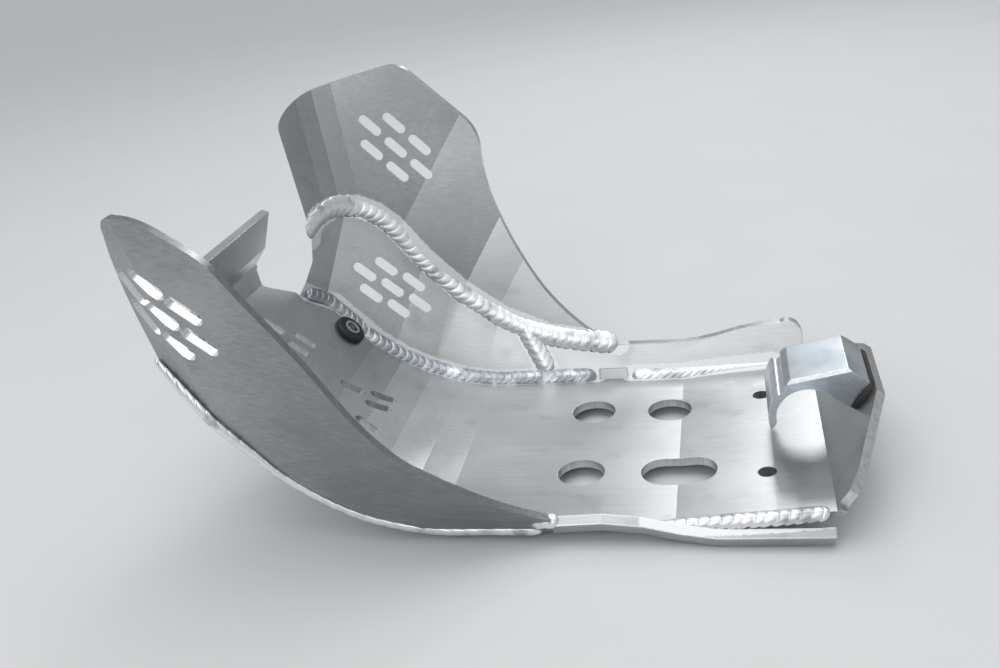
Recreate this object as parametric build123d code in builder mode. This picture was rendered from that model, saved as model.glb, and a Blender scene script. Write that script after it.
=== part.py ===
"""Welded aluminium skid plate for an off-road motorcycle.

Millimetres. +X points to the rear of the machine, +Y to its right side, +Z up.
The origin lies on the upper face of the floor, midway between the two front service holes.
"""
import os
from math import cos, hypot, radians, sin, sqrt, tan

from build123d import *

os.makedirs("parts", exist_ok=True)

# Sheet and bends
SHEET = 4.76
HALF_WIDTH = 79.0

# Base plate, seen from the side
FLOOR_FRONT = -68.0
NOSE_FACET = 21.0
NOSE_STEP = 9.6
NOSE_BENDS = 5
NOSE_SLOPE = NOSE_STEP * NOSE_BENDS
TAB_ROOT = 161.5
TAB_STEPS = [(-1.5446, 12.337), (6.6554, 22.437), (14.4554, 44.637)]
TAB_HALF_WIDTH = 41.0
TAB_RELIEF = 2.4
TRIM_DEPTH = 60.0
REAR_KNEE = 51.8
REAR_CREASE = (100.0, 4.5)
FLANGE_ROOT = (127.2, 7.8)
FLANGE_ANGLE = 55.0
FLANGE_OUTLINE = [(77.0, 2.0), (76.2, 10.2), (69.3, 18.2), (26.5, 42.0)]
FLANGE_HEIGHT = 42.0

# Holes in the base plate
SERVICE_HOLE = 25.4
SERVICE_PITCH = 66.6
FRONT_ROW_X = 0.0
REAR_HOLE_X = 44.7
OBROUND_X = 52.1
OBROUND_LENGTH = 40.0
BOLT_HOLE = 9.5
BOLT_X = 97.05
BOLT_Z = 4.4
BOLT_PITCH = 82.0
SLOT = (16.8, 5.8)
LEFT_SLOT = (21.2, 8.2)
FLOOR_SLOT_TURN = 14.0
FLOOR_SLOTS = [(139.0, 12.0), (119.8, 10.4), (119.8, 22.0), (80.3, 14.0), (61.4, 10.8), (61.4, 22.0)]
FRONT_EDGE = [(138.3, 57.4), (145.6, 55.7), (152.6, 47.6), (157.6, 43.5), (162.0, 41.0)]
NEAR_FRONT_U = 172.0

# Drain notch in the right rear corner
NOTCH_X = (-1.0, 16.0)
NOTCH_SLANT = 3.0
NOTCH_IN = 75.0
NOTCH_TOP = 4.4

# Folded side sheets: each facet as (turn in plan, outward lean, distance from the origin)
RIGHT_LOWER = [(59.7, 0.4, 186.05), (23.2, 19.5, 107.43), (16.2, 23.2, 91.74), (9.4, 26.1, 79.63),
               (0.6, 28.9, 68.08), (-4.0, 29.0, 72.95)]
RIGHT_UPPER = [(65.5, 11.2, 162.15), (48.7, 12.2, 155.3), (31.9, 12.4, 138.36), (15.2, 11.7, 113.45),
               (10.7, 14.9, 98.93), (3.4, 19.4, 83.09), (-1.3, 22.1, 74.66)]
LEFT_WING = [(31.0, 12.3, 142.7), (13.6, 11.9, 104.45), (11.5, 17.7, 94.81), (6.8, 22.5, 83.98),
             (0.0, 26.0, 74.15)]

# Side outlines as (x, z)
SEAM = [(-172.4, 111.4), (-168.2, 117.2), (-161.2, 118.7), (-151.3, 115.4), (-140.2, 109.3),
        (-130.8, 100.7), (-113.6, 77.8), (-90.7, 54.5), (-63.7, 35.6), (-32.9, 24.2), (11.0, 17.4)]
LOWER_FRONT = [(-172.4, 111.4), (-174.4, 92.0), (-178.8, 80.6), (-181.8, 75.0)]
JOINT = [(-48.2, 28.7), (-35.0, 6.8)]
WALL_TOP = [(11.0, 17.4), (13.0, 17.8), (50.0, 17.5), (62.2, 18.6), (72.7, 20.4), (86.8, 23.9),
            (98.9, 25.9), (111.0, 27.0)]
WALL_CORNER = [(111.0, 27.0), (121.4, 25.6), (123.6, 17.0)]
UPPER_FRONT = [(-172.4, 111.4), (-182.0, 172.0)]
UPPER_CROWN = [(-182.0, 172.0), (-178.6, 185.6), (-170.0, 190.8)]
UPPER_TOP = [(-170.0, 190.8), (-145.5, 195.0), (-124.0, 198.2)]
UPPER_PEAK = [(-124.0, 198.2), (-115.8, 196.9), (-109.0, 191.4)]
UPPER_BACK = [(-109.0, 191.4), (-79.9, 161.4)]
UPPER_HIP = [(-79.9, 161.4), (-73.3, 152.4), (-70.4, 140.9)]
UPPER_TAIL = [(-70.4, 140.9), (-66.9, 114.7), (-53.8, 82.0), (-32.2, 49.3), (-17.5, 34.7),
              (-2.7, 23.8), (11.0, 17.4)]
LEFT_FRONT = [(-204.4, 95.4), (-205.2, 120.0), (-204.2, 145.0), (-198.6, 171.0)]
LEFT_CROWN = [(-198.6, 171.0), (-194.6, 179.0), (-186.0, 181.6)]
LEFT_TOP = [(-186.0, 181.6), (-178.0, 180.6), (-171.0, 178.0), (-160.0, 171.2), (-143.2, 157.8),
            (-135.0, 144.7), (-111.3, 105.7), (-92.0, 70.0), (-74.4, 49.8), (-56.8, 36.1),
            (-39.7, 21.9), (-17.6, 8.8), (-9.0, 5.0)]

# Side slot clusters: centre (x, z), fall of the slots, skew of the rows, pitch along and across
UPPER_SLOTS = (-122.5, 148.6, 47.0, 0.0, 21.2, 11.1)
LOWER_SLOTS = (-132.2, 63.4, 43.0, -6.7, 20.5, 10.0)
LEFT_SLOTS = (-182.1, 128.7, 37.5)
LEFT_PLACES = [(0, 0), (21.9, 0), (9.6, 13.2), (-12.0, 13.3), (12.0, -13.3)]
LEFT_FRONT_SLOTS = [(-196.3, 142.3, 58.0), (-196.0, 124.8, 58.0)]

# Left rear rail: sections as (x, shift in y, shift in z) of one leaning bar
RAIL_SECTION = [(-79.8, 6.0), (-84.2, 2.8), (-81.1, -3.6), (-77.0, -1.5)]
RAIL_RUN = [(-9.0, 0.0, -1.6), (16.0, 0.0, 0.0), (36.0, 0.0, -2.0), (54.0, -1.6, -5.1),
            (72.0, -3.4, -6.5), (126.5, -3.4, -5.5)]

# Tube hook on the rear flange, its outline as (distance up the flange, distance in front of it)
TUBE = 31.75
TUBE_PLAY = 0.25
TUBE_GAP = 0.15
TUBE_RISE = 8.6
HOOK_BORE = TUBE + TUBE_PLAY
HOOK_HALF_WIDTH = 20.8
HOOK_SEAT = (24.6, 40.6)
HOOK_OPEN = 44.0
HOOK_LIP = 191.5
HOOK_BACK = [(-8.5, 26.8), (-0.2, 34.3), (10.8, 37.8)]
HOOK_NOTCH = [(10.8, 37.8), (12.4, 34.7), (16.3, 36.0)]
HOOK_TOP = [(16.3, 36.0), (20.9, 35.3), (41.9, 15.5), (41.6, 3.0)]
HOOK_CHAMFER = 1.6
PAD_THICKNESS = 2.5
PAD_SIZE = (48.0, 19.0)

# Rubber grommet and its sleeve
GROMMET_AT = (102.2, 61.8)
GROMMET_FLANGE = 20.0
GROMMET_HOLE = 15.0
GROMMET_LIP = 3.4
GROMMET_EDGE = 1.0
SLEEVE_OUTER = 10.4
SLEEVE_INNER = 6.8
SLEEVE_PROUD = 0.9

# Weld beads
BEAD_SIDES = 12
BEAD_END = 0.6
BEAD_TAPER = 38.0
SEAM_BEAD = (7.6, 4.6)
SEAM_FOOT = (-172.9, 106.0)
FLOOR_BEAD = 6.6
JOINT_BEAD = 6.0
JOINT_RUN = (0.05, 0.5, 0.95)
REAR_BEAD = 4.2
REAR_BEAD_X = (24.0, 50.0, 74.0, 103.0)
EDGE_BEAD = 5.4
EDGE_PATH = [(166.0, 1.6), (150.0, 2.4), (135.0, 0.6), (120.0, -0.8), (100.0, -2.4), (84.0, -3.0), (63.0, -3.4),
             (42.0, -3.4), (21.0, -3.2), (0.0, -3.0), (-25.0, -2.4), (-50.0, -2.0)]
RAIL_BEAD = 5.2
RAIL_BEAD_X = (61.0, 80.0, 100.0, 121.0)
RAIL_BEAD_Y = -80.0
RAIL_BEAD_DROP = 4.2
TACK = 4.6


def nose_point(u):
    """Point (x, z) on the upper face, u being the developed length in front of the floor."""
    x, z = FLOOR_FRONT, 0.0
    for bend in range(1, NOSE_BENDS + 1):
        run = min(u, NOSE_FACET) if bend < NOSE_BENDS else u
        x -= run * cos(radians(NOSE_STEP * bend))
        z += run * sin(radians(NOSE_STEP * bend))
        u -= run
        if u <= 0:
            break
    return x, z


def floor_height(x):
    """Height of the floor's upper face behind the nose."""
    if x <= REAR_KNEE:
        return 0.0
    if x <= REAR_CREASE[0]:
        return REAR_CREASE[1] * (x - REAR_KNEE) / (REAR_CREASE[0] - REAR_KNEE)
    rise = (FLANGE_ROOT[1] - REAR_CREASE[1]) / (FLANGE_ROOT[0] - REAR_CREASE[0])
    return REAR_CREASE[1] + rise * (x - REAR_CREASE[0])


def flange_point(s, off=0.0):
    """Point (x, z) on the front face of the rear flange, s up the slope, off in front of it."""
    a = radians(FLANGE_ANGLE)
    return FLANGE_ROOT[0] + s * cos(a) - off * sin(a), FLANGE_ROOT[1] + s * sin(a) + off * cos(a)


def base_line(last):
    """Upper face of the base plate from the flange forward, as points (x, z)."""
    points = [flange_point(FLANGE_HEIGHT), FLANGE_ROOT, REAR_CREASE, (REAR_KNEE, 0.0), (FLOOR_FRONT, 0.0)]
    points += [nose_point(NOSE_FACET * k) for k in range(1, NOSE_BENDS)]
    return points + [nose_point(last)]


def mitred(points, gap):
    """The open path moved sideways by gap, with mitred corners."""
    steps = [(b[0] - a[0], b[1] - a[1]) for a, b in zip(points, points[1:])]
    units = [(dx / hypot(dx, dz), dz / hypot(dx, dz)) for dx, dz in steps]
    moved = []
    for k, (x, z) in enumerate(points):
        before, after = units[max(k - 1, 0)], units[min(k, len(units) - 1)]
        nx, nz = -before[1] - after[1], before[0] + after[0]
        scale = 2 * gap / (nx * nx + nz * nz)
        moved.append((x + nx * scale, z + nz * scale))
    return moved


def plate(points, thickness, half_width):
    """A bent strip: the path thickened below its upper face and extruded both ways."""
    lower = mitred(points, thickness)
    with BuildPart() as strip:
        with BuildSketch(Plane.XZ):
            with BuildLine():
                Polyline(*points, *reversed(lower), close=True)
            make_face()
        extrude(amount=half_width, both=True)
    return strip.part


def outward(turn, lean, side):
    """Unit normal of a side facet, pointing away from the machine."""
    t, l = radians(turn), radians(lean)
    return Vector(-sin(t) * cos(l), side * cos(t) * cos(l), -sin(l))


def folded(facets, side, start, stop):
    """A sheet between two offsets of a row of facets, mitred at every bend."""
    normals = [outward(turn, lean, side) for turn, lean, _ in facets]
    with BuildPart() as sheet:
        for k, (_, _, reach) in enumerate(facets):
            add(facet(normals, facets, k, reach + start, stop - start))
    return sheet.part


def facet(normals, facets, k, reach, thickness):
    """One facet of a folded sheet, trimmed at its neighbours' bisecting planes."""
    with BuildPart() as piece:
        with BuildSketch(Plane(origin=normals[k] * reach, z_dir=normals[k])):
            Rectangle(900, 900)
        extrude(amount=thickness)
        for j in (k - 1, k + 1):
            if 0 <= j < len(facets):
                split_away = normals[k] - normals[j]
                shift = (facets[k][2] - facets[j][2]) / split_away.length
                normal = split_away.normalized()
                split(bisect_by=Plane(origin=normal * shift, z_dir=normal), keep=Keep.TOP)
    return piece.part


def sheet_y(facets, side, x, z):
    """Side position of a folded sheet's face at (x, z)."""
    reach = []
    for turn, lean, distance in facets:
        n = outward(turn, lean, side)
        reach.append((distance - n.X * x - n.Z * z) / abs(n.Y))
    return side * min(reach)


def facet_at(facets, side, x, z):
    """Normal of the facet that carries the face at (x, z)."""
    y = sheet_y(facets, side, x, z)
    gaps = []
    for turn, lean, distance in facets:
        n = outward(turn, lean, side)
        gaps.append(abs(n.X * x + n.Y * y + n.Z * z - distance))
    turn, lean, _ = facets[gaps.index(min(gaps))]
    return outward(turn, lean, side)


def side_cut(curves, side):
    """A closed side outline carried across one side of the machine."""
    with BuildPart() as cut:
        with BuildSketch(Plane.XZ):
            with BuildLine():
                for kind, points in curves:
                    kind(*points)
            make_face()
        extrude(amount=-side * 260)
    return cut.part


def slot_plane(facets, side, x, z, fall):
    """Workplane on a side sheet with X along the slots."""
    n = facet_at(facets, side, x, z)
    along = Vector(cos(radians(fall)), 0, -sin(radians(fall)))
    along = along - n * along.dot(n)
    return Plane(origin=(x, sheet_y(facets, side, x, z), z), x_dir=along, z_dir=n)


def cluster_places(cluster):
    """The seven places of a two, three, two cluster, in the slot plane."""
    skew, pitch, rows = radians(cluster[3]), cluster[4], cluster[5]
    grid = [(-pitch, 0), (0, 0), (pitch, 0)]
    grid += [(sx * pitch / 2, sy * rows) for sx in (-1, 1) for sy in (-1, 1)]
    return [(a * cos(skew) - b * sin(skew), a * sin(skew) + b * cos(skew)) for a, b in grid]


def cluster_cut(facets, side, cluster, places, size=SLOT):
    """Cutting bodies for one cluster of a side sheet."""
    return slots(slot_plane(facets, side, *cluster[:3]), places, size)


def slots(plane, places, size):
    """Cutting bodies for a group of round-ended slots."""
    with BuildPart() as cut:
        with BuildSketch(plane):
            with Locations(*places):
                SlotOverall(*size)
        extrude(amount=14, both=True)
    return cut.part


def bottom_line(first_u, rear_x):
    """Underside of the base as points (x, z), from the front to the rear."""
    line = mitred(base_line(first_u), SHEET)
    line = [p for p in reversed(line) if p[0] < rear_x]
    return line + [(rear_x, floor_height(rear_x) - SHEET)]


def right_outline():
    """Outline of the right lower sheet: front edge, seam, wall top, rear corner and underside."""
    under = bottom_line(138.0, 124.0)
    return [(Polyline, LOWER_FRONT[::-1]), (Spline, SEAM), (Polyline, WALL_TOP), (ThreePointArc, WALL_CORNER),
            (Polyline, [WALL_CORNER[-1]] + under[::-1] + [LOWER_FRONT[-1]])]


def build_right_sheet():
    """The right side below the seam, still in one run from nose to rear."""
    with BuildPart() as sheet:
        add(folded(RIGHT_LOWER, 1, 0.0, SHEET))
        add(side_cut(right_outline(), 1), mode=Mode.INTERSECT)
        add(cluster_cut(RIGHT_LOWER, 1, LOWER_SLOTS, cluster_places(LOWER_SLOTS)), mode=Mode.SUBTRACT)
        add(notch(), mode=Mode.SUBTRACT)
    return sheet.part


def notch():
    """Drain opening with a slanted rear end."""
    x0, x1 = NOTCH_X
    with BuildPart() as cut:
        with BuildSketch(Plane.XZ.offset(-NOTCH_IN)):
            with BuildLine():
                Polyline((x0, -12), (x0, NOTCH_TOP), (x1, NOTCH_TOP), (x1 + NOTCH_SLANT, -12), close=True)
            make_face()
        extrude(amount=-30)
    return cut.part


def joint_plane():
    """Plane of the butt joint between right lower wing and rear wall."""
    (x0, z0), (x1, z1) = JOINT
    return Plane(origin=(x0, 0, z0), z_dir=(z0 - z1, 0, x1 - x0))


def build_upper_wing():
    """Right upper wing above the seam."""
    outline = [(Polyline, UPPER_FRONT), (ThreePointArc, UPPER_CROWN), (Polyline, UPPER_TOP),
               (ThreePointArc, UPPER_PEAK), (Polyline, UPPER_BACK), (ThreePointArc, UPPER_HIP),
               (Spline, UPPER_TAIL), (Spline, SEAM)]
    with BuildPart() as wing:
        add(folded(RIGHT_UPPER, 1, 0.0, SHEET))
        add(side_cut(outline, 1), mode=Mode.INTERSECT)
        add(cluster_cut(RIGHT_UPPER, 1, UPPER_SLOTS, cluster_places(UPPER_SLOTS)), mode=Mode.SUBTRACT)
    return wing.part


def build_left_wing():
    """Left wing, slotted across its front bend."""
    under = bottom_line(NEAR_FRONT_U - 4, LEFT_TOP[-1][0])
    outline = [(Spline, LEFT_FRONT), (ThreePointArc, LEFT_CROWN), (Spline, LEFT_TOP),
               (Polyline, [LEFT_TOP[-1]] + under[::-1] + [LEFT_FRONT[0]])]
    with BuildPart() as wing:
        add(folded(LEFT_WING, -1, -SHEET, 0.0))
        add(side_cut(outline, -1), mode=Mode.INTERSECT)
        add(cluster_cut(LEFT_WING, -1, LEFT_SLOTS, LEFT_PLACES, LEFT_SLOT), mode=Mode.SUBTRACT)
        for front in LEFT_FRONT_SLOTS:
            add(cluster_cut(LEFT_WING, -1, front, [(0, 0)], LEFT_SLOT), mode=Mode.SUBTRACT)
    return wing.part


def build_rail():
    """Left rear rail, a leaning bar that drops below the floor edge towards the rear."""
    with BuildPart() as rail:
        for x, dy, dz in RAIL_RUN:
            with BuildSketch(Plane(origin=(x, 0, 0), x_dir=(0, 1, 0), z_dir=(1, 0, 0))):
                with BuildLine():
                    Polyline(*[(y + dy, z + dz) for y, z in RAIL_SECTION], close=True)
                make_face()
        loft(ruled=True)
    return rail.part


def flange_corners():
    """Waste at both upper corners of the rear flange."""
    a = radians(FLANGE_ANGLE)
    face = Plane(origin=(FLANGE_ROOT[0], 0, FLANGE_ROOT[1]), x_dir=(0, 1, 0), z_dir=(sin(a), 0, -cos(a)))
    with BuildPart() as waste:
        for side in (-1, 1):
            with BuildSketch(face):
                with BuildLine():
                    outline = [(side * y, s) for y, s in FLANGE_OUTLINE]
                    Polyline(*outline, (side * 26.5, 60), (side * 100, 60), (side * 100, 2), close=True)
                make_face()
            extrude(amount=30, both=True)
    return waste.part


def front_waste():
    """Waste in front of the base plate, right of and left of the tab."""
    right = [(nose_point(u)[0], y) for u, y in FRONT_EDGE]
    x_root, _ = nose_point(TAB_ROOT)
    x_near, _ = nose_point(NEAR_FRONT_U)
    with BuildPart() as waste:
        with BuildSketch():
            with BuildLine():
                Polyline((-170.5, 90), (-170.5, 69), *right, (x_root, TAB_HALF_WIDTH), (x_root, -TAB_HALF_WIDTH),
                         (x_near, -90), (-240, -90), (-240, 90), close=True)
            make_face()
        extrude(amount=200)
    return waste.part


def build_tab():
    """Front tab, bent up and back over the slope."""
    x, z = nose_point(TAB_ROOT)
    xb, zb = nose_point(TAB_ROOT - 4)
    bent = [(x + dx, z + dz) for dx, dz in TAB_STEPS]
    return plate([(xb, zb), (x, z)] + bent, SHEET, TAB_HALF_WIDTH)


def build_base(rail):
    """Base plate with nose, tab, channel and rear flange."""
    u_x, u_z = nose_point(GROMMET_AT[0])
    x_root, z_root = nose_point(TAB_ROOT)
    slope = Vector(sin(radians(NOSE_SLOPE)), 0, cos(radians(NOSE_SLOPE)))
    with BuildPart() as base:
        add(plate(base_line(NEAR_FRONT_U), SHEET, HALF_WIDTH + 6))
        add(front_waste(), mode=Mode.SUBTRACT)
        add(flange_corners(), mode=Mode.SUBTRACT)
        add(folded(RIGHT_LOWER, 1, 0.0, TRIM_DEPTH), mode=Mode.SUBTRACT)
        add(folded(LEFT_WING, -1, -SHEET, TRIM_DEPTH), mode=Mode.SUBTRACT)
        add(build_tab())
        with Locations((x_root, TAB_HALF_WIDTH, z_root), (x_root, -TAB_HALF_WIDTH, z_root)):
            Cylinder(TAB_RELIEF, 20, mode=Mode.SUBTRACT)
        add(rail, mode=Mode.SUBTRACT)
        add(notch(), mode=Mode.SUBTRACT)
        with Locations((FRONT_ROW_X, SERVICE_PITCH / 2), (FRONT_ROW_X, -SERVICE_PITCH / 2),
                       (REAR_HOLE_X, SERVICE_PITCH / 2)):
            Cylinder(SERVICE_HOLE / 2, 20, mode=Mode.SUBTRACT)
        with Locations((BOLT_X, BOLT_PITCH / 2, BOLT_Z), (BOLT_X, -BOLT_PITCH / 2, BOLT_Z)):
            Cylinder(BOLT_HOLE / 2, 20, mode=Mode.SUBTRACT)
        with BuildSketch(Plane.XY.offset(-10)):
            with Locations((OBROUND_X, -SERVICE_PITCH / 2)):
                SlotOverall(OBROUND_LENGTH, SERVICE_HOLE)
        extrude(amount=30, mode=Mode.SUBTRACT)
        with BuildSketch(Plane(origin=(u_x, GROMMET_AT[1], u_z), z_dir=slope)):
            Circle(GROMMET_HOLE / 2)
        extrude(amount=20, both=True, mode=Mode.SUBTRACT)
        for u, y in FLOOR_SLOTS:
            for side in (-1, 1):
                add(floor_slot(u, side * y), mode=Mode.SUBTRACT)
    return base.part


def nose_normal(u):
    """Upward normal of the base plate's upper face at u."""
    if u <= 0:
        return Vector(0, 0, 1)
    (xa, za), (xb, zb) = nose_point(u - 3), nose_point(u + 3)
    return Vector(zb - za, 0, xa - xb).normalized()


def floor_slot(u, y):
    """Cutting body of one slot in the nose."""
    x, z = nose_point(u)
    normal = nose_normal(u)
    turn = radians(FLOOR_SLOT_TURN) * (1 if y > 0 else -1)
    heading = Vector(normal.Z, 0, -normal.X) * cos(turn) + Vector(0, 1, 0) * sin(turn)
    return slots(Plane(origin=(x, y, z), x_dir=heading, z_dir=normal), [(0, 0)], SLOT)


def build_hook():
    """Machined hook that saddles the frame's cross tube."""
    r = HOOK_BORE / 2
    cx, cz = flange_point(TUBE_RISE, r + TUBE_GAP)
    angle = [radians(a) for a in (HOOK_OPEN, 110.0, HOOK_LIP)]
    bore = [(cx + r * cos(a), cz + r * sin(a)) for a in angle]
    seat = [flange_point(s, PAD_THICKNESS) for s in HOOK_SEAT]
    back, notch_arc, top = ([flange_point(*at) for at in row] for row in (HOOK_BACK, HOOK_NOTCH, HOOK_TOP))
    with BuildPart() as hook:
        with BuildSketch(Plane.XZ):
            with BuildLine():
                ThreePointArc(*bore)
                Line(bore[2], back[0])
                ThreePointArc(*back)
                ThreePointArc(*notch_arc)
                Polyline(*top, seat[1], seat[0], bore[0])
            make_face()
        extrude(amount=HOOK_HALF_WIDTH, both=True)
        ends = hook.faces().filter_by(Axis.Y).edges().filter_by(GeomType.LINE)
        chamfer(ends.group_by(SortBy.LENGTH)[-1], length=HOOK_CHAMFER)
    return hook.part


def build_pad():
    """Round-ended spacer between hook and flange."""
    a = radians(FLANGE_ANGLE)
    x, z = flange_point((HOOK_SEAT[0] + HOOK_SEAT[1]) / 2)
    with BuildPart() as pad:
        with BuildSketch(Plane(origin=(x, 0, z), x_dir=(0, 1, 0), z_dir=(-sin(a), 0, cos(a)))):
            SlotOverall(*PAD_SIZE)
        extrude(amount=PAD_THICKNESS)
    return pad.part


def grommet_plane():
    """Workplane on the slope at the grommet."""
    x, z = nose_point(GROMMET_AT[0])
    slope = (sin(radians(NOSE_SLOPE)), 0, cos(radians(NOSE_SLOPE)))
    return Plane(origin=(x, GROMMET_AT[1], z), z_dir=slope)


def build_grommet():
    """Rubber grommet, a flange on either face of the sheet."""
    place = grommet_plane()
    with BuildPart() as grommet:
        for start, length, size in ((0, GROMMET_LIP, GROMMET_FLANGE), (-SHEET, SHEET, GROMMET_HOLE),
                                    (-SHEET - GROMMET_LIP, GROMMET_LIP, GROMMET_FLANGE)):
            with BuildSketch(place.offset(start)):
                Circle(size / 2)
            extrude(amount=length)
        chamfer(grommet.faces().sort_by(Axis(place.origin, place.z_dir))[-1].edges(), GROMMET_EDGE)
        with BuildSketch(place):
            Circle(SLEEVE_OUTER / 2)
        extrude(amount=20, both=True, mode=Mode.SUBTRACT)
    return grommet.part


def build_sleeve():
    """Steel sleeve that lines the grommet."""
    reach = SHEET + 2 * GROMMET_LIP + 2 * SLEEVE_PROUD
    with BuildPart() as sleeve:
        with BuildSketch(grommet_plane().offset(GROMMET_LIP + SLEEVE_PROUD)):
            Circle(SLEEVE_OUTER / 2)
            Circle(SLEEVE_INNER / 2, mode=Mode.SUBTRACT)
        extrude(amount=-reach)
    return sleeve.part


def bead(path, radius, cutters):
    """A many-sided run of weld metal, tapered at both ends, with the parent metal taken out of it."""
    with BuildPart() as run:
        with BuildLine() as line:
            Polyline(*path)
        start = Plane(origin=line.line @ 0, z_dir=line.line % 0)
        stop = Plane(origin=line.line @ 1, z_dir=line.line % 1)
        with BuildSketch(start):
            RegularPolygon(radius, BEAD_SIDES)
        sweep(transition=Transition.RIGHT)
        for face in (run.faces().sort_by_distance(start.origin)[0], run.faces().sort_by_distance(stop.origin)[0]):
            extrude(face, amount=radius * BEAD_END, taper=BEAD_TAPER)
        for cutter in cutters:
            add(cutter, mode=Mode.SUBTRACT)
    return run.solids().sort_by(SortBy.VOLUME)[-1]


def corner(x, y_in, lift):
    """Point over the floor's upper face near its right edge."""
    z = floor_height(x) + lift
    return x, sheet_y(RIGHT_LOWER, 1, x, z) - y_in, z


def build_seam_bead(cutters):
    """Long bead between right upper and lower sheet."""
    radius, depth = SEAM_BEAD
    path = []
    for x, z in [SEAM_FOOT] + SEAM:
        n = facet_at(RIGHT_LOWER, 1, x, z)
        path.append(Vector(x, sheet_y(RIGHT_LOWER, 1, x, z), z) + n * depth)
    return bead(path, radius, cutters)


def build_floor_bead(cutters):
    """Inside corner bead of the right lower wing, from the nose to the drain notch."""
    stations = [(u, *nose_point(u)) for u in (140.0, 120.0, 100.0, 84.0, 63.0, 42.0, 21.0, 0.0)]
    path = [(x, sheet_y(RIGHT_LOWER, 1, x, z), z) for _, x, z in stations]
    path += [(x, sheet_y(RIGHT_LOWER, 1, x, 0.0), 0.0) for x in (-45.0, -5.5)]
    return bead(path, FLOOR_BEAD, cutters)


def build_joint_bead(cutters):
    """Short riser bead over the butt joint of the right side."""
    (x0, z0), (x1, z1) = JOINT
    path = []
    for f in JOINT_RUN:
        x, z = x0 + f * (x1 - x0), z0 + f * (z1 - z0)
        path.append(Vector(x, sheet_y(RIGHT_LOWER, 1, x, z), z) + facet_at(RIGHT_LOWER, 1, x, z) * 3.4)
    return bead(path, JOINT_BEAD, cutters)


def build_wall_bead(cutters):
    """Inside corner bead of the right rear wall."""
    return bead([corner(x, 0.0, 0.0) for x in REAR_BEAD_X], REAR_BEAD, cutters)


def build_edge_bead(cutters):
    """Bead along the lower outside edge of the left wing, thickest at the front."""
    path = []
    for u, proud in EDGE_PATH:
        x, z = nose_point(u) if u > 0 else (FLOOR_FRONT - u, 0.0)
        down = nose_normal(u) * -1
        foot = Vector(x, 0, z) + down * SHEET
        foot = Vector(foot.X, sheet_y(LEFT_WING, -1, foot.X, foot.Z), foot.Z)
        away = (facet_at(LEFT_WING, -1, foot.X, foot.Z) + down).normalized()
        path.append(foot + away * proud)
    return bead(path, EDGE_BEAD, cutters)


def build_rail_bead(cutters):
    """Outside corner bead between floor edge and left rail."""
    path = [(x, RAIL_BEAD_Y, floor_height(x) - RAIL_BEAD_DROP) for x in RAIL_BEAD_X]
    return bead(path, RAIL_BEAD, cutters)


def build_tack(cutters):
    """Short heavy run where left wing and rail meet."""
    return bead([(-17.0, -82.0, 3.0), (-12.5, -82.6, 4.4), (-8.0, -82.4, 3.6)], TACK, cutters)


parts = {}
rail = build_rail()
right = build_right_sheet()
parts["base_plate"] = build_base(rail)
parts["left_rail"] = rail
parts["right_lower_wing"] = split(right, bisect_by=joint_plane(), keep=Keep.BOTTOM)
parts["right_rear_wall"] = split(right, bisect_by=joint_plane(), keep=Keep.TOP)
parts["right_upper_wing"] = build_upper_wing()
parts["left_wing"] = build_left_wing()
parts["tube_hook"] = build_hook()
parts["hook_pad"] = build_pad()
parts["grommet"] = build_grommet()
parts["sleeve"] = build_sleeve()

# Everything a bead may not fill: the sheets themselves and the space behind them
behind_right = [folded(RIGHT_LOWER, 1, 0.0, 24.0), folded(RIGHT_UPPER, 1, 0.0, 24.0)]
under_floor = plate(base_line(NEAR_FRONT_U), 24.0, HALF_WIDTH + 25)
parts["seam_bead"] = build_seam_bead(behind_right)
parts["floor_bead"] = build_floor_bead([behind_right[0], under_floor, parts["seam_bead"], parts["grommet"]])
parts["joint_bead"] = build_joint_bead([behind_right[0], parts["seam_bead"], parts["floor_bead"]])
parts["wall_bead"] = build_wall_bead([behind_right[0], under_floor])
left_sheets = [parts["left_wing"], parts["base_plate"]]
parts["edge_bead"] = build_edge_bead(left_sheets)
parts["rail_bead"] = build_rail_bead([parts["left_rail"], parts["base_plate"]])
parts["tack_bead"] = build_tack([parts["left_rail"], *left_sheets, parts["edge_bead"]])

for name, shape in parts.items():
    shape.label = name
    export_step(shape, f"parts/{name}.step")
    print(name, [round(v, 1) for v in shape.bounding_box().min], [round(v, 1) for v in shape.bounding_box().max],
          round(shape.volume), len(shape.solids()))
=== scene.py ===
"""Studio scene of a welded aluminium skid plate for an off-road motorcycle.

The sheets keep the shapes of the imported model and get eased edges, brushed metal and welds with real ripples.
"""
import logging
import math
import random
from dataclasses import dataclass, field
from enum import Enum

import bmesh
import bpy
from mathutils import Matrix, Vector


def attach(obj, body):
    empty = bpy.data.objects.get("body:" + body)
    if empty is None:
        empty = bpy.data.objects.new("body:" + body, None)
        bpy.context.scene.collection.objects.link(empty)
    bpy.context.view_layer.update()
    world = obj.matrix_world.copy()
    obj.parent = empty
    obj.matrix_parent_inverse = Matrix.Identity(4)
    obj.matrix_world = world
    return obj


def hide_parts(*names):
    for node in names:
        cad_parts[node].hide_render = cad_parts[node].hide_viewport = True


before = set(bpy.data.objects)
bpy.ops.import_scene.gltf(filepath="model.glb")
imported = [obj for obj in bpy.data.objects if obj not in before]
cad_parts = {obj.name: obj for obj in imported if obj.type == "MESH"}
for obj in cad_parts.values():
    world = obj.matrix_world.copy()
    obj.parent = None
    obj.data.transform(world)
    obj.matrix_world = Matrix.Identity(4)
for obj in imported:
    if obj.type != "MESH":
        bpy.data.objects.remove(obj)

log = logging.getLogger("skid_plate")
MM = 0.001
Point = tuple[float, float, float]

# Faces count as one direction above SAME_FACING, and as lying on a main one above NEAR_FACING (cosines)
SAME_FACING, NEAR_FACING = 0.9995, 0.998
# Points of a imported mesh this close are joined, in metres
JOIN_REACH = 0.000002
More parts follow.
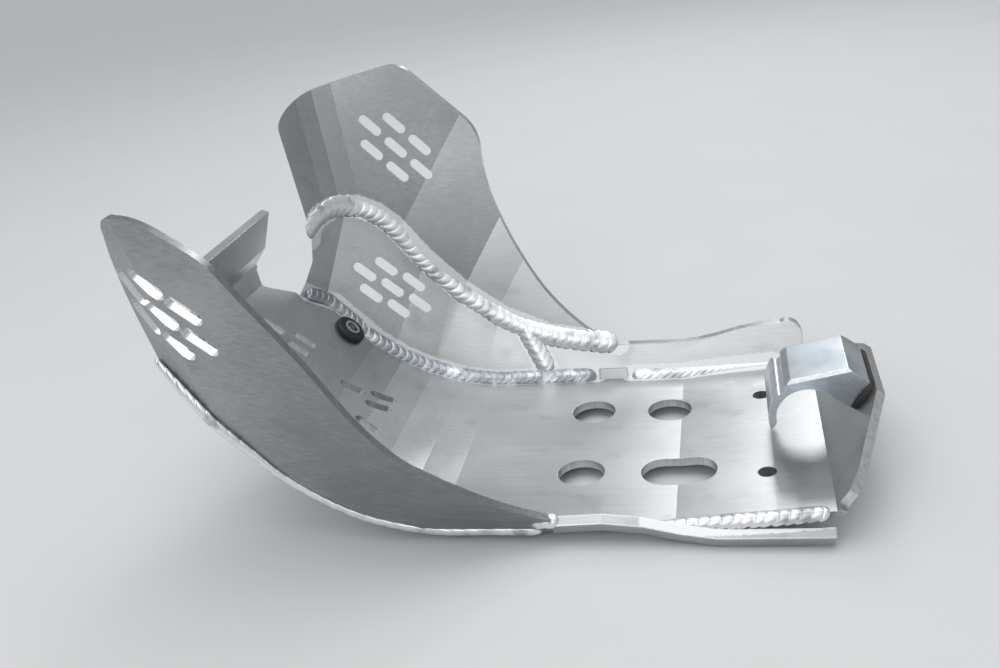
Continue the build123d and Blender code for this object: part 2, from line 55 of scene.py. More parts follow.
# Folds below FLAT_ANGLE are dissolved and those below SMOOTH_ANGLE shade smoothly, in degrees
FLAT_ANGLE, SMOOTH_ANGLE = 0.6, 4.0
# A weld ripple leans towards its start, has a broad top and is off its place by a share of the pitch
RIPPLE_LEAN, RIPPLE_ROUND, RIPPLE_DRIFT = 0.72, 0.3, 0.12
# Share of its size that a run keeps at its ends, and millimetres that its underside lies below the guide
BLUNT_END, ROOT_DEPTH = 0.03, 0.6


class Look(Enum):
    """How a face was made, which decides its finish."""

    ROLLED = 0
    CUT = 1


class Socket:
    """A node socket that takes part in Python arithmetic."""

    def __init__(self, graph: "Graph", link: bpy.types.NodeSocket) -> None:
        """Keep the socket and the graph that it belongs to."""
        self.graph = graph
        self.link = link

    def _math(self, operation: str, *values: "Socket | float") -> "Socket":
        """Add a Math node of this operation on the values."""
        return self.graph.node("ShaderNodeMath", {"operation": operation}, dict(enumerate(values)))

    def __add__(self, other: "Socket | float") -> "Socket":
        """Sum."""
        return self._math("ADD", self, other)

    def __mul__(self, other: "Socket | float") -> "Socket":
        """Product."""
        return self._math("MULTIPLY", self, other)

    def __sub__(self, other: "Socket | float") -> "Socket":
        """Difference."""
        return self._math("SUBTRACT", self, other)

    def __rsub__(self, other: "Socket | float") -> "Socket":
        """Difference with this socket taken away."""
        return self._math("SUBTRACT", other, self)

    def __pow__(self, power: float) -> "Socket":
        """Power."""
        return self._math("POWER", self, power)

    def least(self, other: "Socket | float") -> "Socket":
        """The smaller of two values."""
        return self._math("MINIMUM", self, other)

    def sine(self) -> "Socket":
        """Sine, the value in radians."""
        return self._math("SINE", self)

    def step(self, low: float, high: float) -> "Socket":
        """A smooth step.

        Args:
            low: value that gives 0.
            high: value that gives 1.

        Returns:
            The step, clamped.
        """
        inputs = {"Value": self, "From Min": low, "From Max": high}
        return self.graph.node("ShaderNodeMapRange", {"interpolation_type": "SMOOTHSTEP"}, inputs)


class Graph:
    """A node tree with a short way to add nodes."""

    def __init__(self, tree: bpy.types.NodeTree) -> None:
        """Work on this tree."""
        self.nodes, self.links = tree.nodes, tree.links

    def put(self, socket: bpy.types.NodeSocket, value: "Socket | float | Point") -> None:
        """Link or set one input socket."""
        if isinstance(value, Socket):
            self.links.new(value.link, socket)
        else:
            socket.default_value = value

    def node(self, kind: str, settings: dict, inputs: dict, output: int | str = 0) -> Socket:
        """Add a node.

        Args:
            kind: node type.
            settings: properties to set first.
            inputs: values or sockets by input name or index.
            output: the output to hand back.

        Returns:
            The chosen output.
        """
        made = self.nodes.new(kind)
        for key, value in settings.items():
            setattr(made, key, value)
        for key, value in inputs.items():
            self.put(made.inputs[key], value)
        return Socket(self, made.outputs[output])

    def vector(self, operation: str, inputs: dict, output: int | str = 0) -> Socket:
        """Add a Vector Math node of this operation on the inputs."""
        return self.node("ShaderNodeVectorMath", {"operation": operation}, inputs, output)

    def colour(self, factor: Socket | float, low: Point | Socket, high: Point | Socket) -> Socket:
        """Blend between two colours."""
        inputs = {0: factor, 6: self.rgba(low), 7: self.rgba(high)}
        return self.node("ShaderNodeMix", {"data_type": "RGBA"}, inputs, 2)

    def rgba(self, colour: "Point | Socket") -> "tuple | Socket":
        """A colour as four numbers, or the socket as it is."""
        return colour if isinstance(colour, Socket) else (*colour, 1.0)


class Shader(Graph):
    """One node material."""

    def __init__(self, name: str) -> None:
        """Start a material of this name."""
        self.material = bpy.data.materials.new(name)
        self.material.use_nodes = True
        super().__init__(self.material.node_tree)
        self.surface = self.nodes["Principled BSDF"]

    def place(self) -> Socket:
        """Position in the row frame, in metres."""
        return self.node("ShaderNodeTexCoord", {}, {}, "Object")

    def normal(self) -> Socket:
        """Direction that the face itself looks, without its bumps."""
        return self.node("ShaderNodeNewGeometry", {}, {}, "True Normal")

    def along(self, part: int) -> Socket:
        """One coordinate of the position, 0 to 2."""
        return self.node("ShaderNodeSeparateXYZ", {}, {0: self.place()}, part)

    def noise(self, scale: Point, detail: float = 3.0, shift: float = 0.0) -> Socket:
        """Fractal noise.

        Args:
            scale: cycles per metre along X, Y and Z.
            detail: octaves.
            shift: distance to move the pattern.

        Returns:
            The noise, about 0 to 1.
        """
        inputs = {"Vector": self.place(), "Scale": scale, "Location": (shift,) * 3}
        moved = self.node("ShaderNodeMapping", {}, inputs)
        return self.node("ShaderNodeTexNoise", {}, {"Vector": moved, "Scale": 1.0, "Detail": detail})

    def run_distance(self, guide: list[Point]) -> Socket:
        """Distance to a polyline, in metres.

        Args:
            guide: its points in millimetres.

        Returns:
            The distance to the nearest point of the line.
        """
        place, best = self.place(), None
        for a, b in zip(guide, guide[1:]):
            a, b = Vector(a) * MM, Vector(b) * MM
            ab = b - a
            away = self.vector("SUBTRACT", {0: place, 1: tuple(a)})
            part = self.vector("DOT_PRODUCT", {0: away, 1: tuple(ab / ab.length_squared)}, "Value")
            part = self.node("ShaderNodeClamp", {}, {"Value": part})
            foot = self.vector("SCALE", {0: tuple(ab), "Scale": part})
            gap = self.vector("SUBTRACT", {0: away, 1: foot})
            gap = self.vector("LENGTH", {0: gap}, "Value")
            best = gap if best is None else best.least(gap)
        return best

    def bump(self, height: Socket, distance: float, strength: float = 1.0) -> None:
        """Feed a height to the surface's normal.

        Args:
            height: the height, 0 to 1.
            distance: metres for a height of 1.
            strength: share of the effect.
        """
        inputs = {"Height": height, "Distance": distance, "Strength": strength}
        self.put(self.surface.inputs["Normal"], self.node("ShaderNodeBump", {}, inputs))

    def set(self, **values: "Socket | float | Point") -> None:
        """Set surface inputs by name, with _ for a space."""
        for key, value in values.items():
            self.put(self.surface.inputs[key.replace("_", " ")], value)


@dataclass(frozen=True)
class RolledSheet:
    """Mill-finish sheet: fine rolling lines, faint smudges and a frosted border beside each weld."""

    name: str
    dark: Point = (0.46, 0.475, 0.485)
    light: Point = (0.60, 0.61, 0.615)
    rolling: Point = (14.0, 900.0, 900.0)
    gloss: float = 0.34
    grain: float = 0.00002
    guides: tuple = ()
    reach: float = 7.6
    inner: Point = (0.0, 0.0, 1.0)
    smudged: Point = (0.20, 0.195, 0.185)
    burnt: Point = (0.34, 0.345, 0.35)
    frosted: Point = (0.90, 0.91, 0.92)

    def build(self) -> bpy.types.Material:
        """Build the material.

        Returns:
            The sheet's material.
        """
        s = Shader(self.name)
        lines = s.noise(self.rolling, 4.0)
        cloud = s.noise((11.0, 13.0, 12.0), 4.0, 3.0)
        smudge = s.noise((38.0, 60.0, 50.0), 5.0, 7.0).step(0.56, 0.72)
        tone = lines * 0.35 + cloud * 0.65
        colour = s.colour(tone.step(0.35, 0.65), self.dark, self.light)
        colour = s.colour(smudge * 0.22, colour, self.smudged)
        rough = lines * 0.10 + cloud * 0.10 + (self.gloss - 0.10)
        if self.guides:
            gap = s.run_distance(list(self.guides[0]))
            for guide in self.guides[1:]:
                gap = gap.least(s.run_distance(list(guide)))
            ragged = gap + (s.noise((420.0, 420.0, 420.0), 3.0) - 0.5) * 0.002
            inside = s.vector("DOT_PRODUCT", {0: s.normal(), 1: self.inner}, "Value").step(0.0, 0.15)
            frost = inside * (1.0 - ragged.step((self.reach - 0.8) * MM, (self.reach + 0.3) * MM))
            tint = inside * (1.0 - ragged.step(self.reach * MM, (self.reach + 8.0) * MM)) * 0.22
            colour = s.colour(tint, colour, self.burnt)
            colour = s.colour(frost * 0.9, colour, self.frosted)
            rough = rough + frost * 0.16
        s.set(Base_Color=colour, Roughness=rough, Metallic=1.0)
        s.bump(lines, self.grain)
        return s.material


@dataclass(frozen=True)
class CutEdge:
    """Cut and eased edge of the sheet: bright, with fine marks across it and, near a given line, a painted
    highlight.
    """

    name: str
    tone: Point = (0.70, 0.72, 0.74)
    # Colour of the painted highlight laid near a given line
    bright: Point = (0.90, 0.91, 0.92)
    highlight_spots: tuple = ()
    reach: float = 34.0

    def build(self) -> bpy.types.Material:
        """Build the material.

        Returns:
            The edge's material.
        """
        s = Shader(self.name)
        marks = s.noise((520.0, 520.0, 90.0), 3.0)
        low = tuple(c * 0.8 for c in self.tone)
        colour = s.colour(marks.step(0.3, 0.7), low, self.tone)
        # Cut edges near the given line get a painted highlight
        if self.highlight_spots:
            near = 1.0 - s.run_distance(list(self.highlight_spots)).step(self.reach * MM, (self.reach + 3.0) * MM)
            colour = s.colour(near, colour, self.bright)
        s.set(Base_Color=colour, Roughness=marks * 0.16 + 0.24, Metallic=1.0)
        s.bump(marks, 0.00004)
        return s.material


@dataclass(frozen=True)
class WeldMetal:
    """Weld metal: bright and frosted, with greyer patches at random."""

    name: str
    bright: Point = (0.92, 0.93, 0.94)
    dull: Point = (0.52, 0.53, 0.55)
    share: float = 0.6

    def build(self) -> bpy.types.Material:
        """Build the material.

        Returns:
            The weld's material.
        """
        s = Shader(self.name)
        grit = s.noise((1500.0, 1500.0, 1500.0), 2.0)
        patch = s.noise((90.0, 90.0, 90.0), 3.0, 2.0)
        tone = (patch + (self.share - 0.5)).step(0.38, 0.60)
        s.set(Base_Color=s.colour(tone, self.dull, self.bright), Roughness=grit * 0.16 + 0.30, Metallic=1.0)
        s.bump(grit, 0.00003)
        return s.material


@dataclass(frozen=True)
class MilledBlock:
    """Machined block: cutter arcs on its side faces and fine parallel lines on top."""

    name: str
    tone: Point = (0.54, 0.59, 0.64)
    centre: Point = (0.118, 0.0, 0.014)
    pitch: float = 0.0016

    def build(self) -> bpy.types.Material:
        """Build the material.

        Returns:
            The block's material.
        """
        s = Shader(self.name)
        x, z = s.along(0) - self.centre[0], s.along(2) - self.centre[2]
        ring = (x * x + z * z) ** 0.5
        arcs = (ring * (2 * math.pi / self.pitch)).sine() * 0.5 + 0.5
        side = s.node("ShaderNodeSeparateXYZ", {}, {0: s.normal()}, 1)
        side = (side * side).step(0.6, 0.9)
        lines = s.noise((60.0, 1400.0, 60.0), 3.0)
        marks = arcs * side + lines * (1.0 - side)
        blotch = s.noise((40.0, 40.0, 40.0), 3.0)
        high = tuple(min(1.0, c * 1.18) for c in self.tone)
        low = tuple(c * 0.86 for c in self.tone)
        colour = s.colour(blotch.step(0.35, 0.65), low, high)
        s.set(Base_Color=colour, Roughness=marks * 0.12 + 0.26, Metallic=1.0)
        s.bump(marks, 0.000012)
        return s.material


@dataclass(frozen=True)
class Rubber:
    """Moulded rubber with a little bloom and dust."""

    name: str
    tone: Point = (0.018, 0.018, 0.019)
    dust: Point = (0.10, 0.10, 0.10)

    def build(self) -> bpy.types.Material:
        """Build the material.

        Returns:
            The rubber's material.
        """
        s = Shader(self.name)
        grain = s.noise((900.0, 900.0, 900.0), 3.0)
        bloom = s.noise((120.0, 120.0, 120.0), 4.0, 5.0).step(0.5, 0.75) * 0.35
        s.set(Base_Color=s.colour(bloom, self.tone, self.dust), Roughness=grain * 0.2 + 0.45, Metallic=0.0)
        s.bump(grain, 0.00005)
        return s.material


@dataclass(frozen=True)
class Plated:
    """Bright zinc plate with faint turning marks."""

    name: str
    tone: Point = (0.68, 0.70, 0.72)

    def build(self) -> bpy.types.Material:
        """Build the material.

        Returns:
            The plate's material.
        """
        s = Shader(self.name)
        marks = s.noise((700.0, 700.0, 700.0), 2.0)
        low = tuple(c * 0.8 for c in self.tone)
        colour = s.colour(marks.step(0.3, 0.7), low, self.tone)
        s.set(Base_Color=colour, Roughness=marks * 0.12 + 0.2, Metallic=1.0)
        s.bump(marks, 0.00002)
        return s.material


def finish_piece(made: bpy.types.Object, node: str) -> None:
    """Let a new piece stand for its node and ride on the root.

    Args:
        made: the new object.
        node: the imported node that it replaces.
    """
    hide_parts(node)
    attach(made, "root")
    log.info("%s: %d faces", made.name, len(made.data.polygons))


@dataclass
class EasedPiece:
    """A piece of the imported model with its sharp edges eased."""

    node: str
    slot: str
    finishes: list[bpy.types.Material]
    ease: float = 0.55
    sharp: float = 33.0
    main_share: float = 0.011

    def main_normals(self, mesh: bpy.types.Mesh) -> list[Vector]:
        """Normals of the large flat faces.

        Args:
            mesh: the node's mesh.

        Returns:
            The direction of each group of faces that has more than main_share of the area.
        """
        groups: list[list] = []
        for face in mesh.polygons:
            for group in groups:
                if group[0].dot(face.normal) > SAME_FACING:
                    group[1] += face.area
                    break
            else:
                groups.append([face.normal.copy(), face.area])
        whole = sum(area for _, area in groups)
        return [normal for normal, area in groups if area > whole * self.main_share]

    def build(self) -> bpy.types.Object:
        """Build the eased copy and put it in the node's place.

        Returns:
            The new object.
        """
        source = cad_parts[self.node]
        mesh = source.data.copy()
        mesh.materials.clear()
        for finish in self.finishes:
            mesh.materials.append(finish)
        mains = self.main_normals(mesh)
        work = bmesh.new()
        work.from_mesh(mesh)
        bmesh.ops.remove_doubles(work, verts=work.verts, dist=JOIN_REACH)
        bmesh.ops.dissolve_limit(work, angle_limit=math.radians(FLAT_ANGLE), verts=work.verts,
                                 edges=work.edges)
        for face in work.faces:
            flat = any(abs(face.normal.dot(main)) > NEAR_FACING for main in mains)
            face.material_index = Look.ROLLED.value if flat or len(self.finishes) == 1 else Look.CUT.value
            face.smooth = True
        edges = [e for e in work.edges if len(e.link_faces) == 2
                 and e.calc_face_angle(0.0) > math.radians(self.sharp)]
        bmesh.ops.bevel(work, geom=edges, offset=self.ease * MM, segments=2, profile=0.6, affect="EDGES",
                        clamp_overlap=True, material=len(self.finishes) - 1, harden_normals=False)
        work.to_mesh(mesh)
        work.free()
        made = bpy.data.objects.new(f"{self.node}_dressed", mesh)
        bpy.context.scene.collection.objects.link(made)
        mesh.set_sharp_from_angle(angle=math.radians(SMOOTH_ANGLE))
        finish_piece(made, self.node)
        return made


@dataclass
class WeldRun:
    """A run of weld metal laid as overlapping ripples along a guide line.

    Each guide point carries the two directions in which the metal spreads over the parent sheets.
    """

    name: str
    node: str
    finish: bpy.types.Material
    guide: list[Point]
    legs: list[tuple[Point, Point]]
    width: tuple[float, float]
    crown: float
    pitch: float = 4.8
    ripple: float = 0.13
    bow: float = 4.4
    grow: list[float] = field(default_factory=list)
    across: int = 18
    pace: float = 0.32
    seed: int = 1
    proud: Point = (0.0, -0.9, 0.45)
    outside: bool = False

    def samples(self) -> list[tuple[float, Vector, Vector, Vector, float]]:
        """Stations along the smoothed guide.

        Returns:
            For each, the distance, the place, both leg directions and the growth factor.
        """
        points = [Vector(p) for p in self.guide]
        grow = self.grow or [1.0] * len(points)
        runs = [(b - a).length for a, b in zip(points, points[1:])]
        rows, travelled = [], 0.0
        for k, run in enumerate(runs):
            steps = max(2, round(run / self.pace))
            before = points[max(k - 1, 0)] if k else points[0] * 2 - points[1]
            after = points[k + 2] if k + 2 < len(points) else points[-1] * 2 - points[-2]
            for i in range(steps):
                t = i / steps
                place = self.curve(before, points[k], points[k + 1], after, t)
                pairs = zip(self.legs[k], self.legs[k + 1])
                legs = [Vector(here).lerp(Vector(there), t).normalized() for here, there in pairs]
                rows.append((travelled + run * t, place, *legs, grow[k] + (grow[k + 1] - grow[k]) * t))
            travelled += run
        rows.append((travelled, points[-1], *[Vector(v).normalized() for v in self.legs[-1]], grow[-1]))
        return rows

    @staticmethod
    def curve(a: Vector, b: Vector, c: Vector, d: Vector, t: float) -> Vector:
        """Point between b and c on a smooth curve through all four.

        Args:
            a: point before.
            b: start of the stretch.
            c: end of the stretch.
            d: point after.
            t: share of the stretch, 0 to 1.

        Returns:
            The point.
        """
        square, cube = 2 * a - 5 * b + 4 * c - d, 3 * b - a - 3 * c + d
        return 0.5 * (2 * b + (c - a) * t + square * t * t + cube * t ** 3)

    def height(self, distance: float, share: float, jitter: list[float]) -> float:
        """Ripple height.

        Args:
            distance: millimetres along the run.
            share: 0 to 1 across the run.
            jitter: a random offset for each ripple.

        Returns:
            0 in a valley to 1 on a ridge.
        """
        phase = (distance + self.bow * (2 * share - 1) ** 2) / self.pitch
        index = int(phase)
        phase += RIPPLE_DRIFT * jitter[index % len(jitter)]
        part = phase - math.floor(phase)
        return math.sin(math.pi * part ** RIPPLE_LEAN) ** RIPPLE_ROUND

    def build(self) -> bpy.types.Object:
        """Build the run's mesh and put it in its node's place.

        Returns:
            The new object.
        """
        rand = random.Random(self.seed)
        jitter = [rand.uniform(-1.0, 1.0) for _ in range(97)]
        rows = self.samples()
        total, half = rows[-1][0], max(self.width)
        points, faces = [], []
        for k, (distance, place, leg_a, leg_b, grow) in enumerate(rows):
            end = min(distance, total - distance)
            cap = math.sqrt(max(0.0, 1.0 - (1.0 - min(end / half, 1.0)) ** 2)) * (1.0 - BLUNT_END) + BLUNT_END
            up = self.up(leg_a, leg_b, rows[min(k + 1, len(rows) - 1)][1] - rows[max(k - 1, 0)][1])
            for j in range(self.across + 1):
                share = j / self.across
                rise = self.height(distance, share, jitter)
                scale = grow * cap * (1.0 - self.ripple * (1.0 - rise))
                points.append(place + self.section(share, leg_a, leg_b, up) * scale)
            points.append(place - up * ROOT_DEPTH * cap)
        ring = self.across + 2
        for i in range(len(rows) - 1):
            for j in range(ring):
                k = (j + 1) % ring
                faces.append((i * ring + j, i * ring + k, (i + 1) * ring + k, (i + 1) * ring + j))
        faces.append(tuple(range(ring))[::-1])
        faces.append(tuple(range((len(rows) - 1) * ring, len(rows) * ring)))
        mesh = bpy.data.meshes.new(self.name)
        mesh.from_pydata([tuple(p * MM) for p in points], [], faces)
        work = bmesh.new()
        work.from_mesh(mesh)
        bmesh.ops.recalc_face_normals(work, faces=work.faces)
        work.to_mesh(mesh)
        work.free()
        mesh.shade_smooth()
        mesh.materials.append(self.finish)
        made = bpy.data.objects.new(self.name, mesh)
        bpy.context.scene.collection.objects.link(made)
        finish_piece(made, self.node)
        return made

    def section(self, share: float, leg_a: Vector, leg_b: Vector, up: Vector) -> Vector:
        """Place on the run's crown, seen along the guide.

        Args:
            share: 0 to 1 across the run.
            leg_a: direction of the first leg.
            leg_b: direction of the second leg.
            up: direction of the crown.

        Returns:
            The place, from the guide.
        """
        angle = math.pi * share
        if self.outside:
            near, far = max(0.0, math.cos(angle)), max(0.0, -math.cos(angle))
        else:
            near, far = math.cos(angle / 2), math.sin(angle / 2)
        side = leg_a * (self.width[0] * near) + leg_b * (self.width[1] * far)
        return side + up * (self.crown * math.sin(angle))

    def up(self, leg_a: Vector, leg_b: Vector, tangent: Vector) -> Vector:
        """Direction in which the run stands proud of its guide.

        Args:
            leg_a: direction of the first leg.
            leg_b: direction of the second leg.
            tangent: direction of the guide.

        Returns:
            The direction, of length 1.
        """
        proud, both = Vector(self.proud).normalized(), leg_a + leg_b
        if self.outside:
            return proud
        if both.length > 0.3:
            return both.normalized()
        square = leg_a.cross(tangent).normalized()
        return square if square.dot(proud) > 0 else -square


@dataclass
class Studio:
    """Floor, lights and camera; the eye is in millimetres and the angles in radians."""

    eye: Point = (83.967, -497.861, 297.681)
    yaw: float = -0.248
    pitch: float = 0.419
    roll: float = 0.145
    focal: float = 36.776
    floor_level: float = -10.6
    floor_reach: float = 6.0
    floor_tones: tuple[Point, Point] = ((0.74, 0.745, 0.75), (0.78, 0.785, 0.79))
    sky: tuple[float, float, float] = (0.27, 0.42, 0.74)

    def camera(self) -> None:
        """Place the camera at the photograph's angle."""
        lens = bpy.data.cameras.new("camera")
        lens.lens, lens.sensor_width, lens.clip_start = self.focal, 36.0, 0.01
        made = bpy.data.objects.new("camera", lens)
        cy, sy, cp, sp = math.cos(self.yaw), math.sin(self.yaw), math.cos(self.pitch), math.sin(self.pitch)
        forward = Vector((sy * cp, cy * cp, -sp))
        right = Vector((cy, -sy, 0.0))
        down = forward.cross(right)
        cr, sr = math.cos(self.roll), math.sin(self.roll)
        right, down = right * cr + down * sr, down * cr - right * sr
        turn = Matrix(((right.x, -down.x, -forward.x), (right.y, -down.y, -forward.y),
                       (right.z, -down.z, -forward.z)))
        made.matrix_world = Matrix.Translation(Vector(self.eye) * MM) @ turn.to_4x4()
        bpy.context.scene.collection.objects.link(made)
        bpy.context.scene.camera = made

    def floor(self) -> None:
        """Lay the pale floor."""
        s = Shader("pale_floor")
        grain = s.noise((9.0, 9.0, 9.0), 2.0)
        s.set(Base_Color=s.colour(grain, *self.floor_tones), Roughness=0.75)
        mesh = bpy.data.meshes.new("floor")
        size = self.floor_reach
        corners = [(-size, -size, 0.0), (size, -size, 0.0), (size, size, 0.0), (-size, size, 0.0)]
        mesh.from_pydata(corners, [], [(0, 1, 2, 3)])
        mesh.materials.append(s.material)
        made = bpy.data.objects.new("floor", mesh)
        made.location.z = self.floor_level * MM
        bpy.context.scene.collection.objects.link(made)

    def lamp(self, name: str, place: Point, aim: Point, size: Point, power: float) -> None:
        """Hang one soft light.

        Args:
            name: the light's name.
            place: where it hangs, in metres.
            aim: where it points, in metres.
            size: width and height, in metres.
            power: watts.
        """
        light = bpy.data.lights.new(name, "AREA")
        light.shape, light.size, light.size_y, light.energy = "RECTANGLE", size[0], size[1], power
        made = bpy.data.objects.new(name, light)
        made.location = place
        made.rotation_euler = (Vector(aim) - Vector(place)).to_track_quat("-Z", "Y").to_euler()
        bpy.context.scene.collection.objects.link(made)

    def light(self) -> None:
        """Set the world and hang the lights."""
        world = bpy.data.worlds.new("studio")
        world.use_nodes = True
        graph = Graph(world.node_tree)
        place = graph.node("ShaderNodeTexCoord", {}, {}, "Generated")
        up = graph.node("ShaderNodeSeparateXYZ", {}, {0: place}, 2)
        low, middle, high = ((tone, tone * 1.015, tone * 1.03) for tone in self.sky)
        colour = graph.colour(up.step(0.4, 1.0), graph.colour(up.step(0.0, 0.4), low, middle), high)
        graph.put(graph.nodes["Background"].inputs[0], colour)
        bpy.context.scene.world = world
        self.lamp("overhead", (-0.1, 0.1, 1.5), (-0.02, 0.0, 0.05), (1.6, 1.3), 6.6)
        self.lamp("rear", (0.13, 1.4, 1.0), (-0.1, 0.0, 0.02), (0.30, 0.30), 2.4)
        self.lamp("side", (0.59, -1.08, 0.72), (-0.1, 0.11, 0.12), (0.8, 0.5), 0.5)
        self.lamp("front", (-0.34, -1.3, 0.90), (-0.02, 0.08, 0.05), (0.9, 0.6), 3.0)

    def build(self) -> None:
        """Build the whole studio."""
        bpy.context.scene.view_settings.view_transform = "Standard"
        self.camera()
        self.floor()
        self.light()


# Direction that the rear part of the right sheets faces, inwards and up
RIGHT_LEAN = (0.009, -0.875, 0.483)
# Guide lines of the welds, in millimetres, each from front to rear. They are fixed points, mostly worked out
# beforehand from the solids' source, and don't follow when the part's sizes change
SEAM = [(-172.9, 74.4, 106.0), (-172.4, 75.28, 111.4), (-168.25, 82.46, 117.51), (-161.18, 94.6, 119.47),
        (-151.11, 104.07, 116.38), (-139.69, 106.54, 110.12), (-130.07, 107.28, 101.31),
        (-112.85, 105.83, 78.39), (-90.02, 102.42, 55.2), (-63.17, 97.22, 36.44), (-32.61, 91.3, 25.13),
        (11.19, 88.02, 18.35)]
SEAM_FACING = ([(0.863, -0.505, 0.007)] * 4 + [(0.371, -0.866, 0.334)] * 4 + [(0.256, -0.883, 0.394)]
               + [RIGHT_LEAN] * 3)
NOSE = [(-179.4, 62.2, 73.5), (-167.49, 75.45, 60.32), (-154.1, 75.46, 45.46), (-143.4, 75.47, 33.57),
        (-126.94, 76.22, 20.53), (-108.54, 77.05, 10.41), (-88.71, 76.93, 3.5), (-68.0, 77.06, 0.0),
        (-43.0, 77.32, 0.0), (-3.0, 77.71, 0.0)]
WALL = [(19.5, 78.0, 0.0), (50.0, 78.29, 0.0), (74.0, 79.59, 2.07), (105.0, 79.11, 5.0)]
JOINT = [(-49.5, 94.2, 30.8), (-44.9, 90.12, 23.23), (-40.28, 85.94, 15.56), (-33.0, 79.4, 3.6)]
EDGE = [(-206.4, -71.9, 96.0), (-201.8, -72.36, 91.32), (-191.1, -75.77, 79.43), (-181.06, -78.97, 68.28),
        (-171.02, -80.84, 57.14), (-157.64, -80.85, 42.27), (-146.66, -80.87, 30.1), (-129.57, -80.59, 16.56),
        (-110.47, -80.9, 6.06), (-89.89, -80.36, -1.11), (-68.0, -80.18, -4.76), (-43.0, -80.18, -4.76),
        (-15.0, -80.18, -4.76)]
RAIL = [(41.0, -79.4, -0.4), (58.0, -79.5, 0.4), (80.0, -80.0, 2.4), (100.0, -80.2, 4.3), (124.0, -80.2, 7.1)]
TACK = [(-20.0, -81.0, 2.0), (-12.5, -81.4, 3.0), (-5.0, -81.0, 2.6)]
# Middle line of the left wing's slots, near which the cut edges get a painted highlight
LEFT_SLOTS = ((-192.0, -85.0, 122.0), (-172.0, -85.0, 136.0))


@dataclass
class Welds:
    """Every weld on the plate."""

    bright: bpy.types.Material
    grey: bpy.types.Material

    @staticmethod
    def flat_legs(guide: list[Point], facings: list[Point]) -> list[tuple[Point, Point]]:
        """Legs of a bead on a flat joint.

        Args:
            guide: the bead's guide line.
            facings: the direction that the sheet faces at each point.

        Returns:
            Opposite leg directions across the line at each point.
        """
        legs = []
        for k, facing in enumerate(facings):
            tangent = Vector(guide[min(k + 1, len(guide) - 1)]) - Vector(guide[max(k - 1, 0)])
            side = tangent.cross(Vector(facing)).normalized()
            legs.append((tuple(side), tuple(-side)))
        return legs

    def inside(self) -> None:
        """Lay the beads on the inner side of the right sheets."""
        legs = self.flat_legs(SEAM, SEAM_FACING)
        WeldRun("seam_weld", "seam_bead", self.bright, SEAM, legs, (7.4, 7.4), 1.9,
                grow=[0.42, 0.66, 0.84] + [1.0] * 9, proud=(0.15, -0.88, 0.42), pitch=5.4, bow=6.4,
                ripple=0.24, seed=3).build()
        inward = [(0.3, -0.95, 0.0)] + [(0.0, -1.0, 0.0)] * 9
        rising = [(0.0, 0.45, 0.9)] + [(0.0, 0.42, 0.9)] * 9
        WeldRun("nose_weld", "floor_bead", self.grey, NOSE, list(zip(inward, rising)), (5.8, 6.2), 0.6,
                ripple=0.17, seed=5).build()
        legs = [((0, -1, 0), (0, 0.48, 0.87))] * len(WALL)
        WeldRun("wall_weld", "wall_bead", self.bright, WALL, legs, (4.6, 4.6), 0.5,
                grow=[1.0, 1.0, 0.6, 0.22], pitch=4.8, ripple=0.2, seed=7).build()
        legs = self.flat_legs(JOINT, [RIGHT_LEAN] * len(JOINT))
        WeldRun("riser_weld", "joint_bead", self.bright, JOINT, legs, (6.2, 6.2), 2.0,
                proud=RIGHT_LEAN, pitch=5.4, bow=6.0, ripple=0.24, seed=9).build()

    def outside(self) -> None:
        """Lay the beads round the outer corners of the left side."""
        legs = [((-0.15, -0.35, 0.9), (0.3, 0.9, -0.2))] * len(EDGE)
        WeldRun("wing_weld", "edge_bead", self.bright, EDGE, legs, (5.4, 4.4), 4.2,
                grow=[0.5, 0.95, 1.2, 1.2, 1.05, 0.8, 0.62, 0.56, 0.52, 0.5, 0.5, 0.5, 0.55],
                proud=(-0.3, -0.75, -0.6), pitch=7.4, bow=3.0, ripple=0.2, seed=11, outside=True).build()
        legs = [((0, 1, 0.1), (0, -0.75, -0.66))] * len(RAIL)
        WeldRun("rail_weld", "rail_bead", self.bright, RAIL, legs, (4.6, 4.8), 2.6,
                grow=[0.35, 0.8, 1.0, 1.0, 1.0], proud=(0.0, -0.45, 0.9), pitch=5.4, bow=3.4, ripple=0.3,
                seed=13, outside=True).build()
        legs = [((0, 0.9, 0.35), (0, -0.75, -0.66))] * len(TACK)
        WeldRun("corner_weld", "tack_bead", self.bright, TACK, legs, (4.0, 4.4), 2.8,
                proud=(0.0, -0.6, 0.8), pitch=6.0, ripple=0.3, seed=15, outside=True).build()

    def build(self) -> None:
        """Lay all the beads."""
        self.inside()
        self.outside()


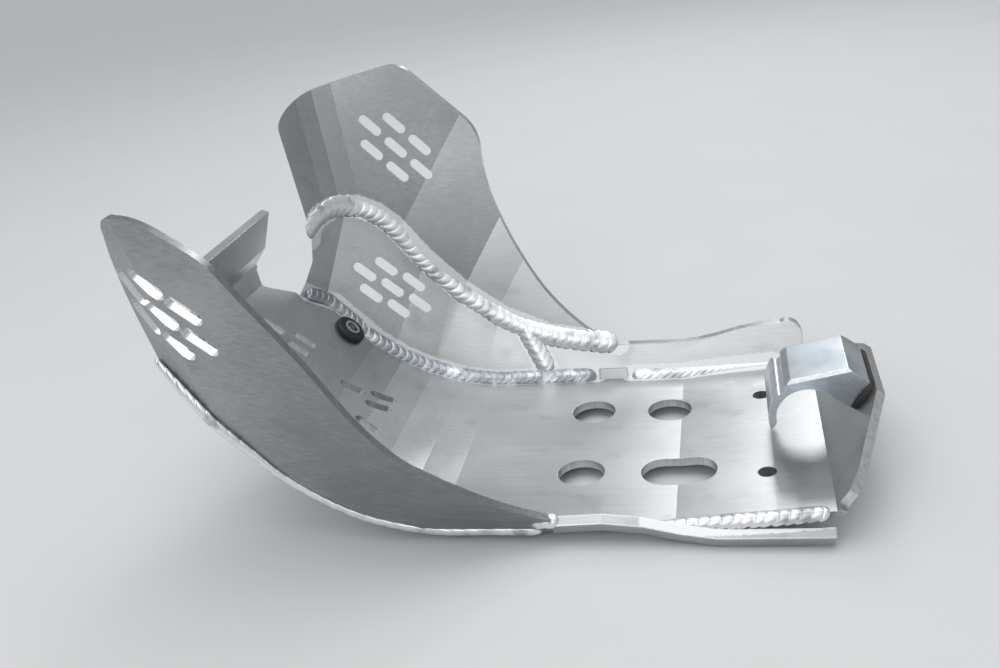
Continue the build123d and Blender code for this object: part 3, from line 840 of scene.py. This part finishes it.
@dataclass
class Sheets:
    """The folded and flat sheets of the plate."""

    edge: bpy.types.Material

    def build(self) -> None:
        """Dress each sheet in its own rolled finish."""
        seam, nose, wall = tuple(SEAM), tuple(NOSE), tuple(WALL)
        plain = RolledSheet("floor_sheet", guides=(nose, wall), reach=6.8)
        lower = RolledSheet("lower_wing_sheet", guides=(seam, nose, JOINT[::3]), inner=RIGHT_LEAN)
        upper = RolledSheet("upper_wing_sheet", guides=(seam,), inner=(0.3, -0.9, 0.3))
        rear = RolledSheet("rear_wall_sheet", guides=(seam[-3:], JOINT[::3], wall), inner=RIGHT_LEAN)
        # The left wing's darker tones are painted shade: its metal is the same as the other sheets'
        left = RolledSheet("left_wing_painted_shade_sheet", dark=(0.29, 0.305, 0.32), light=(0.43, 0.44, 0.445),
                           rolling=(26.0, 700.0, 700.0), gloss=0.36)
        # The left wing's cut edges are darkened with painted shade, with a painted highlight near its slots
        painted_shade_and_highlight_edge = CutEdge("left_wing_painted_light_edge", (0.36, 0.37, 0.38), highlight_spots=LEFT_SLOTS).build()
        rail = RolledSheet("rail_bar", guides=(tuple(RAIL),), reach=8.0)
        for node, finish in (("base_plate", plain), ("right_lower_wing", lower), ("right_upper_wing", upper),
                             ("right_rear_wall", rear), ("left_wing", left), ("left_rail", rail)):
            EasedPiece(node, "sheet", [finish.build(), painted_shade_and_highlight_edge if node == "left_wing" else self.edge]).build()


@dataclass
class Fittings:
    """Hook, spacer, grommet and sleeve."""

    def build(self) -> None:
        """Dress each fitting."""
        block = MilledBlock("milled_hook").build()
        rim = CutEdge("hook_rim", (0.84, 0.86, 0.88)).build()
        EasedPiece("tube_hook", "machined", [block, rim], 0.5, 20.0).build()
        spacer = Rubber("spacer_rubber", (0.035, 0.028, 0.024)).build()
        EasedPiece("hook_pad", "pad_rubber", [spacer], 0.4).build()
        EasedPiece("grommet", "rubber", [Rubber("grommet_rubber").build()], 0.3).build()
        EasedPiece("sleeve", "zinc", [Plated("zinc_sleeve").build()], 0.25).build()


def main() -> None:
    """Build the scene in order and report each piece."""
    logging.basicConfig(level=logging.INFO, format="%(name)s: %(message)s")
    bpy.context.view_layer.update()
    Sheets(CutEdge("cut_edge").build()).build()
    Fittings().build()
    bright = WeldMetal("bright_weld").build()
    grey = WeldMetal("grey_weld", (0.78, 0.81, 0.84), (0.40, 0.43, 0.46), 0.45).build()
    Welds(bright, grey).build()
    Studio().build()
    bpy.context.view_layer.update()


if __name__ == "__main__":
    main()
